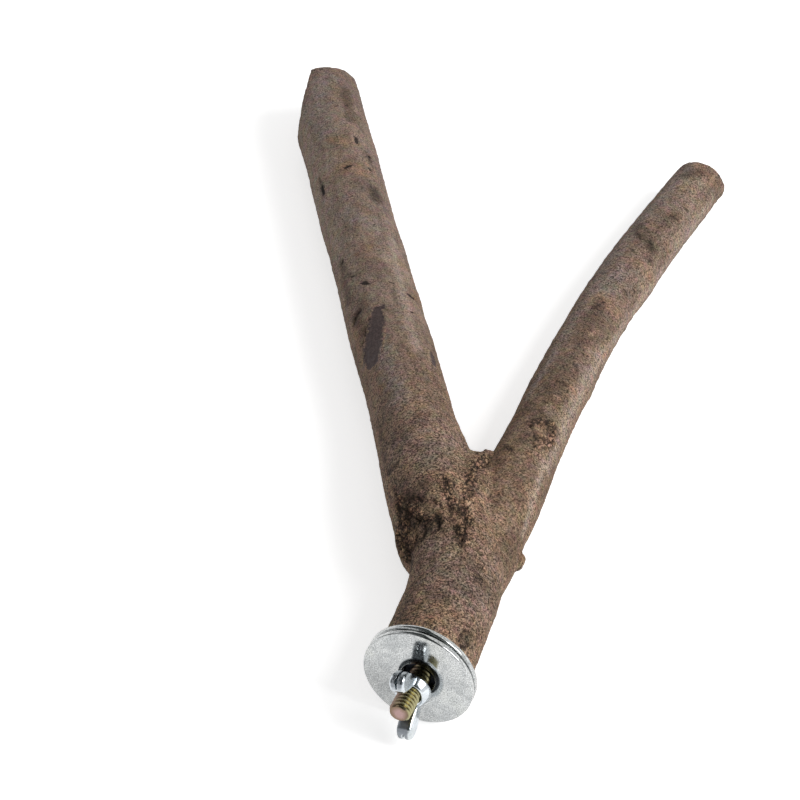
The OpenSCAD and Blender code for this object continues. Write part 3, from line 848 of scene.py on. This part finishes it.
def threadedRod(name, rootRadius, crestRadius, pitch, low, high, sides, taper):
    # one tooth is screwed round and up, trimmed flat at both ends and thinned by the taper
    flank = (crestRadius - rootRadius) * math.tan(math.radians(30))
    crest = (pitch - 2 * flank) / 3
    start = low - pitch - (low % pitch)
    tooth = [(rootRadius, 0), (crestRadius, flank), (crestRadius, flank + crest),
             (rootRadius, 2 * flank + crest), (rootRadius, pitch)]
    piece = drawnLine(name, [(radius, start + z) for radius, z in tooth])
    turns = int((high - start) / pitch) + 2
    applyModifier(piece, "SCREW", axis="Z", screw_offset=pitch * mm, iterations=turns, steps=sides,
                  render_steps=sides, use_normal_calculate=True)
    # the turns are welded first, so that each cut is one loop and fills cleanly
    bpy.ops.object.mode_set(mode="EDIT")
    closeUp(2 * weldGap)
    for point in piece.data.vertices:
        x, y, z = point.co
        limit = taper(z / mm) * mm
        radius = math.hypot(x, y)
        if radius > limit:
            point.co = (x * limit / radius, y * limit / radius, z)
    bpy.ops.object.mode_set(mode="EDIT")
    for height, facing in ((low, -1), (high, 1)):
        bpy.ops.mesh.select_all(action="SELECT")
        bpy.ops.mesh.bisect(plane_co=(0, 0, height * mm), plane_no=(0, 0, facing), use_fill=True,
                            clear_outer=True, threshold=weldGap)
    closeUp(2 * weldGap)
    return piece


def combine(piece, tool, operation):
    applyModifier(piece, "BOOLEAN", operation=operation, object=tool, solver="EXACT")
    bpy.data.objects.remove(tool)
    return piece


def darkReflectionLayer(piece, rule):
    # where dark reflection and shade are painted on the plating, from 0 to 1
    layer = piece.data.attributes.new("darkReflection", "FLOAT", "POINT")
    for vertex, point in zip(piece.data.vertices, layer.data):
        point.value = min(max(float(rule(vertex.co, vertex.normal)), 0), 1)


boltPlan = {
    # the bolt lies low and a little to the side in the washers' wide holes
    "place": (-0.4, -1.7),
    "rootRadius": 2.4,
    "crestRadius": 3.1,
    "pitch": 1.27,
    "tip": 15.1,
    "chamfer": 0.6,
    "chamferSlope": 0.9,
    "machineEnd": -2.6,
    "shankRadius": 2.65,
    "shankLow": -5.9,
    "shankHigh": -2.0,
    "shankEdge": 0.2,
    "woodRoot": 2.1,
    "woodCrest": 2.8,
    "woodPitch": 2.4,
    "woodHigh": -5.0,
    "woodTip": 0.8,
    "woodSlope": 0.33,
    "end": -23.0,
    "sides": 72,
    "shankSides": 64,
    "woodSides": 40,
    "smoothAngle": 32,
}


def makeStud(plan):
    def tipTaper(z):
        past = z - plan["tip"] + plan["chamfer"]
        return min(plan["crestRadius"], plan["crestRadius"] - past * plan["chamferSlope"])

    def woodTaper(z):
        past = max(z - plan["end"], 0)
        return min(plan["woodCrest"], plan["woodTip"] + past * plan["woodSlope"])

    stud = threadedRod("threadedStud", plan["rootRadius"], plan["crestRadius"], plan["pitch"],
                       plan["machineEnd"], plan["tip"], plan["sides"], tipTaper)
    wood = threadedRod("woodScrew", plan["woodRoot"], plan["woodCrest"], plan["woodPitch"],
                       plan["end"], plan["woodHigh"], plan["woodSides"], woodTaper)
    low, high = plan["shankLow"], plan["shankHigh"]
    bpy.ops.object.select_all(action="DESELECT")
    bpy.ops.mesh.primitive_cylinder_add(vertices=plan["shankSides"], radius=plan["shankRadius"] * mm,
                                        depth=(high - low) * mm, location=(0, 0, (low + high) / 2 * mm))
    shank = bpy.context.object
    bpy.ops.object.transform_apply()
    applyModifier(shank, "BEVEL", width=plan["shankEdge"] * mm, segments=1, angle_limit=math.radians(60))
    stud = combine(stud, shank, "UNION")
    stud = combine(stud, wood, "UNION")
    stud.name = "threadedStud"
    layOut(stud, plan["place"])
    smoothUpTo(stud, plan["smoothAngle"])
    return stud


washerPlan = {
    "radius": 15.875,
    "hole": 4.95,
    "thickness": 1.5,
    "edge": 0.3,
    "holeBurr": 0.1,
    "rimBurr": 0.12,
    # the painted dark reflection of the nut fades out at this radius round the hole
    "darkReflectionRadius": 7.8,
    "innerLow": -1.5,
    "outerLow": 0.8,
    "sides": 160,
    "smoothAngle": 50,
}


def makeWasher(name, level, plan):
    # the punch leaves one rim rounded and the other almost sharp
    r, hole, e, darkReflection = plan["radius"], plan["hole"], plan["edge"], plan["darkReflectionRadius"]
    holeBurr, rimBurr, bend = plan["holeBurr"], plan["rimBurr"], e * 0.3
    low = plan[level]
    high = low + plan["thickness"]
    profile = [(hole, low + holeBurr), (hole + holeBurr, low), (r - rimBurr, low), (r, low + rimBurr),
               (r, high - e), (r - bend, high - bend), (r - e, high), (darkReflection, high), (hole + e, high),
               (hole + bend, high - bend), (hole, high - e)]
    piece = turned(name, profile, plan["sides"])
    layOut(piece)
    # a painted dark reflection of the nut round the washer's hole
    darkReflectionLayer(piece, lambda place, facing: math.hypot(place.x, place.z) < (darkReflection - 0.1) * mm)
    smoothUpTo(piece, plan["smoothAngle"])
    return piece


nutPlan = {
    "seat": 4.7,
    "baseRadius": 5.45,
    "topRadius": 4.4,
    "height": 2.9,
    "bore": 2.55,
    "threadRoom": 0.15,
    "threadOver": 2,
    "sides": 96,
    "boreSides": 48,
    "smoothAngle": 35,
    "wingTurn": 97,
    "wingThickness": 4.3,
    "wingEdge": 0.9,
    "voxel": 0.15 * mm,
    "evenRounds": 8,
    # a wing's outline: distance from the axis and height above the hub's foot
    "outline": [(3.7, 0.9), (4.3, 0.25), (5.1, 0.08), (5.8, 0.45), (7.4, 1.7), (8.95, 2.95), (10.2, 4.55),
                (10.95, 6.3), (11.15, 7.7), (10.85, 8.75), (10.1, 9.5), (9.0, 9.82), (7.7, 9.7), (6.6, 9.2),
                (5.6, 7.7), (4.75, 5.8), (4.1, 4.1), (3.7, 2.6)],
    # the slot along the outward edge, where the folded sheet's two edges don't meet
    "slotWidth": 0.6,
    "slot": [(7.7, 0.9), (10.2, 2.6), (12.0, 5.4), (12.3, 8.2), (11.2, 10.6), (8.4, 11.2), (8.3, 8.2),
             (9.0, 7.5), (8.8, 6.2), (7.9, 4.8), (6.9, 3.6)],
    # painted dark reflection and shade: heights of the upper wing, its paler back and the lower wing; the
    # most on edge and back
    "darkReflectionHeights": (3 * mm, 4 * mm, -6 * mm),
    "darkReflectionMost": (0.75, 0.55),
}


def wingDarkReflection(place, facing):
    # painted dark reflection and shade on the backs, on the upper wing's folded edge, and on all but one side
    # of the lower wing
    upperFrom, palerFrom, lowerFrom = nutPlan["darkReflectionHeights"]
    edgeMost, backMost = nutPlan["darkReflectionMost"]
    back = min(facing.y * 3 - 1.2 - max(facing.x, 0) * 2, backMost if place.z > palerFrom else 1)
    upper = (place.z > upperFrom) * ((facing.z - facing.y) * 1.6 - 0.95 - abs(facing.x))
    lower = (place.z < lowerFrom) * (0.8 - max(facing.x, 0) * 3)
    return max(back, min(upper, edgeMost), lower)


def makeWing(plan, turn):
    wing = drawnLine("wing", plan["outline"], closed=True)
    applyModifier(wing, "SOLIDIFY", thickness=plan["wingThickness"] * mm, offset=0)
    applyModifier(wing, "BEVEL", width=plan["wingEdge"] * mm, segments=4, limit_method="ANGLE",
                  angle_limit=math.radians(60))
    slot = drawnLine("slot", plan["slot"], closed=True)
    applyModifier(slot, "SOLIDIFY", thickness=plan["slotWidth"] * mm, offset=0)
    wing = combine(wing, slot, "DIFFERENCE")
    applyModifier(wing, "REMESH", mode="VOXEL", voxel_size=plan["voxel"])
    applyModifier(wing, "SMOOTH", factor=0.5, iterations=plan["evenRounds"])
    raised = Matrix.Translation((0, 0, plan["seat"] * mm))
    wing.data.transform(Matrix.Rotation(math.radians(turn), 4, "Z") @ raised)
    return wing


def makeWingNut(plan):
    base, top, bore, low = plan["baseRadius"], plan["topRadius"], plan["bore"], plan["seat"]
    high = low + plan["height"]
    profile = [(bore, low + 0.2), (bore + 0.4, low), (base - 0.35, low), (base - 0.08, low + 0.08),
               (base, low + 0.3), (base - 0.03, low + 0.6), (top + 0.1, high - 0.45),
               (top - 0.08, high - 0.15), (top - 0.35, high), (bore + 1.0, high), (bore + 0.6, high - 0.25)]
    nut = turned("wingNutBody", profile, plan["sides"])
    for turn in (plan["wingTurn"], plan["wingTurn"] + 180):
        nut = combine(nut, makeWing(plan, turn), "UNION")
    root = boltPlan["rootRadius"] + plan["threadRoom"]
    crest = boltPlan["crestRadius"] + plan["threadRoom"]
    core = threadedRod("nutThread", root, crest, boltPlan["pitch"], low - plan["threadOver"],
                       high + plan["threadOver"], plan["boreSides"], lambda z: crest)
    nut = combine(nut, core, "DIFFERENCE")
    nut.name = "wingNutBody"
    layOut(nut, boltPlan["place"])
    darkReflectionLayer(nut, wingDarkReflection)
    smoothUpTo(nut, plan["smoothAngle"])
    return nut


metalLook = {
    "satin": {"colour": (0.505, 0.515, 0.512), "cloudy": (0.38, 0.392, 0.395), "roughness": 0.1, "fleck": 2.8,
              "darkReflectionShare": 0.1},
    "bright": {"colour": (0.66, 0.7, 0.73), "cloudy": (0.5, 0.54, 0.57), "roughness": 0.09, "fleck": 0.5,
               "darkReflectionShare": 0.85},
    # the colour of painted dark reflection and shade
    "darkReflection": (0.045, 0.052, 0.07),
    "stale": (0.46, 0.47, 0.43),
    # patterns: how many to the metre, detail, roughness and warp
    "haze": (260, 5, 0.65, 0.6),
    "wide": (90, 3, 0.6),
    "grain": (2600, 3, 0.7),
    "scratch": (2600, 2, 0.6),
    # where in its pattern each begins and is full, and how much it adds at both
    "cloudyRange": (0.36, 0.66),
    "staleRange": (0.45, 0.7, 0, 0.35),
    "roughRange": (0.35, 0.7, 0, 0.08),
    "darkReflectionRoughness": 0.28,
    "scratchRelief": 0.4,
    "hazeRelief": 1.5,
    "reliefStrength": 0.25,
    "reliefDepth": 0.02 * mm,
}


def zincMaterial(name, look):
    material, tree, shader = newMaterial(name)
    place = addNode(tree, "ShaderNodeTexCoord").outputs["Object"]
    haze = cloud(tree, place, *metalLook["haze"])
    wide = cloud(tree, stretched(tree, place, (1, 1, 1), (2, 5, 1)), *metalLook["wide"])
    grain = cloud(tree, place, *metalLook["grain"])
    scratch = cloud(tree, stretched(tree, place, (1, 1, 0.05)), *metalLook["scratch"])
    colour = blendColour(tree, spread(tree, haze, *metalLook["cloudyRange"]), look["colour"], look["cloudy"])
    colour = blendColour(tree, spread(tree, wide, *metalLook["staleRange"]), colour, metalLook["stale"])
    colour = darken(tree, colour, maths(tree, "SUBTRACT", 0.5, grain), look["fleck"])
    # painted dark reflection and shade, where the layer holds it
    darkReflection = addNode(tree, "ShaderNodeAttribute", attribute_name="darkReflection").outputs["Fac"]
    colour = blendColour(tree, times(tree, darkReflection, look["darkReflectionShare"]), colour, metalLook["darkReflection"])
    plug(tree, colour, shader.inputs["Base Color"])
    shader.inputs["Metallic"].default_value = 1
    roughness = maths(tree, "ADD", spread(tree, haze, *metalLook["roughRange"]), look["roughness"])
    most = look["darkReflectionShare"] * metalLook["darkReflectionRoughness"]
    plug(tree, maths(tree, "MULTIPLY_ADD", darkReflection, most, roughness), shader.inputs["Roughness"])
    height = maths(tree, "MULTIPLY_ADD", scratch, metalLook["scratchRelief"], grain)
    height = maths(tree, "MULTIPLY_ADD", haze, metalLook["hazeRelief"], height)
    relief = bumpOf(tree, height, metalLook["reliefStrength"], metalLook["reliefDepth"])
    plug(tree, relief, shader.inputs["Normal"])
    return material


studLook = {
    # the passivation runs from purple brown to olive across the stud; the purple left side is also darkened
    # as painted shade
    "purpleShadedSide": (0.22, 0.155, 0.125),
    "olive": (0.37, 0.345, 0.19),
    # painted shade in the thread's grooves
    "grooveShade": (0.11, 0.075, 0.04),
    # painted shade on the stud in and by the washers' holes
    "inside": (0.04, 0.03, 0.02),
    # the tip's middle is bare and pink
    "tipMiddle": (0.37, 0.245, 0.23),
    "tipRim": (0.2, 0.14, 0.095),
    # patterns, then where each colour lies and how much it covers
    "tint": (420, 4, 0.6, 0.5),
    "grain": (3500, 3, 0.6),
    "oliveRange": (0.5 * mm, 4.5 * mm),
    "oliveWander": 6 * mm,
    "grooveShadeCover": 0.75,
    "crestBand": 0.15,
    "shadeInsideRange": (-5 * mm, -1 * mm),
    "shadeInsideCover": 0.25,
    "tipDepth": (0.05, 0.5),
    "rimRange": (1.6 * mm, 3.4 * mm),
    "rimWander": 1.6 * mm,
    "roughness": (0.2, 0.19),
    "reliefStrength": 0.3,
    "reliefDepth": 0.02 * mm,
}


def studMaterial(plan, look):
    material, tree, shader = newMaterial("yellowZinc")
    place = addNode(tree, "ShaderNodeTexCoord").outputs["Object"]
    side, drop = plan["place"]
    own = stretched(tree, place, (1, 1, 1), (-side * mm, 0, -drop * mm))
    tint = cloud(tree, place, *look["tint"])
    grain = cloud(tree, place, *look["grain"])
    across, along, up = partsOf(tree, own)
    radius = fromAxis(tree, across, up)
    # painted shade fills the grooves below a band at the crest
    crest = plan["crestRadius"] - look["crestBand"]
    grooveShade = spread(tree, radius, plan["rootRadius"] * mm, crest * mm, 1, 0)
    face, neck = (-(plan["tip"] - depth) * mm for depth in look["tipDepth"])
    tip = spread(tree, along, face, neck, 1, 0)
    # painted shade where the stud runs into the washers' holes
    inside = spread(tree, along, *look["shadeInsideRange"])
    lean = maths(tree, "MULTIPLY_ADD", tint, look["oliveWander"], across)
    # purple brown on the left, darker as painted shade too, olive on the right
    colour = blendColour(tree, spread(tree, lean, *look["oliveRange"]), look["purpleShadedSide"], look["olive"])
    colour = blendColour(tree, times(tree, grooveShade, look["grooveShadeCover"]), colour, look["grooveShade"])
    colour = blendColour(tree, times(tree, inside, look["shadeInsideCover"]), colour, look["inside"])
    middle = maths(tree, "MULTIPLY_ADD", tint, look["rimWander"], radius)
    bare = blendColour(tree, spread(tree, middle, *look["rimRange"]), look["tipMiddle"], look["tipRim"])
    colour = blendColour(tree, tip, colour, bare)
    plug(tree, colour, shader.inputs["Base Color"])
    shader.inputs["Metallic"].default_value = 1
    plug(tree, maths(tree, "MULTIPLY_ADD", grain, *look["roughness"]), shader.inputs["Roughness"])
    plug(tree, bumpOf(tree, grain, look["reliefStrength"], look["reliefDepth"]), shader.inputs["Normal"])
    return material


satinZinc = zincMaterial("satinZinc", metalLook["satin"])
brightZinc = zincMaterial("brightZinc", metalLook["bright"])
yellowZinc = studMaterial(boltPlan, studLook)
fixings = [
    (makeStud(boltPlan), "branch", "hanger_bolt", "yellow_zinc", yellowZinc),
    (makeWasher("innerWasher", "innerLow", washerPlan), "inner_washer", "inner_washer", "satin_zinc",
     satinZinc),
    (makeWasher("outerWasher", "outerLow", washerPlan), "outer_washer", "outer_washer", "satin_zinc",
     satinZinc),
    (makeWingNut(nutPlan), "wing_nut", "wing_nut", "bright_zinc", brightZinc),
]
for piece, body, node, slot, material in fixings:
    piece.data.materials.clear()
    piece.data.materials.append(material)
    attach(piece, body)
    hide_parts(node)
    print("perch:", piece.name, len(piece.data.vertices), "points")
print("perch: fixing made")
